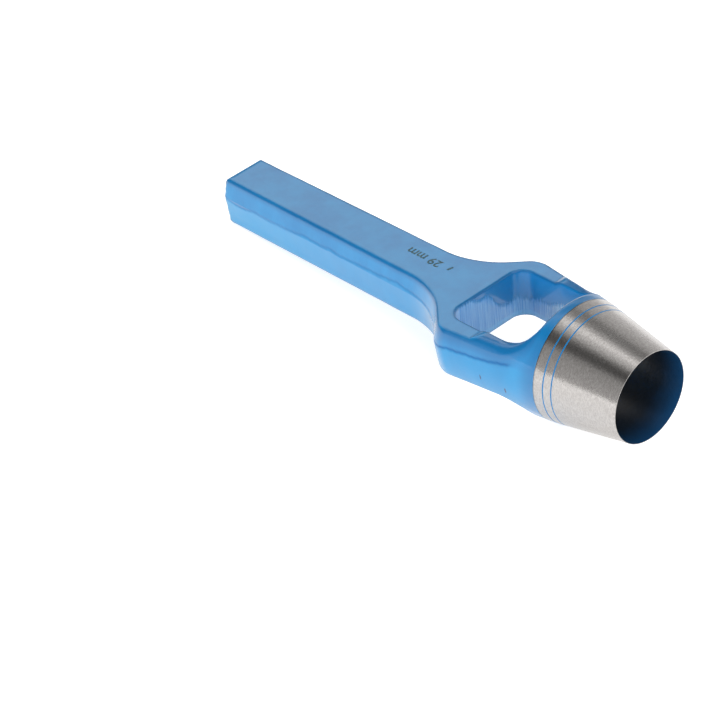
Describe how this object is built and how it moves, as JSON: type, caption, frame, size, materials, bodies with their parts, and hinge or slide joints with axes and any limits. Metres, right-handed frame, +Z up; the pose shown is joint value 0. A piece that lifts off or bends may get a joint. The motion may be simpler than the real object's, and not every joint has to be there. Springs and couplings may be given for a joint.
{
  "type": "hollow punch",
  "caption": "One-piece forged hollow punch: tapered shank flaring into a windowed yoke, with a ground conical cutting ring and grooves around it.",
  "frame": {"origin": "centre of the bounding box's bottom, on the floor the tool lies on", "axes": "+X is the tool's long direction towards the cutting mouth, +Z is up, and the tool lies nose up by 4.63 degrees on its heel and the rear rim of the ring"},
  "size_m": [0.172, 0.0466, 0.039],
  "materials": {
    "blue_enamel": "gloss",
    "ground_steel": "satin"
  },
  "bodies": {
    "root": {"hollow_punch": "blue_enamel"}
  },
  "joints": []
}
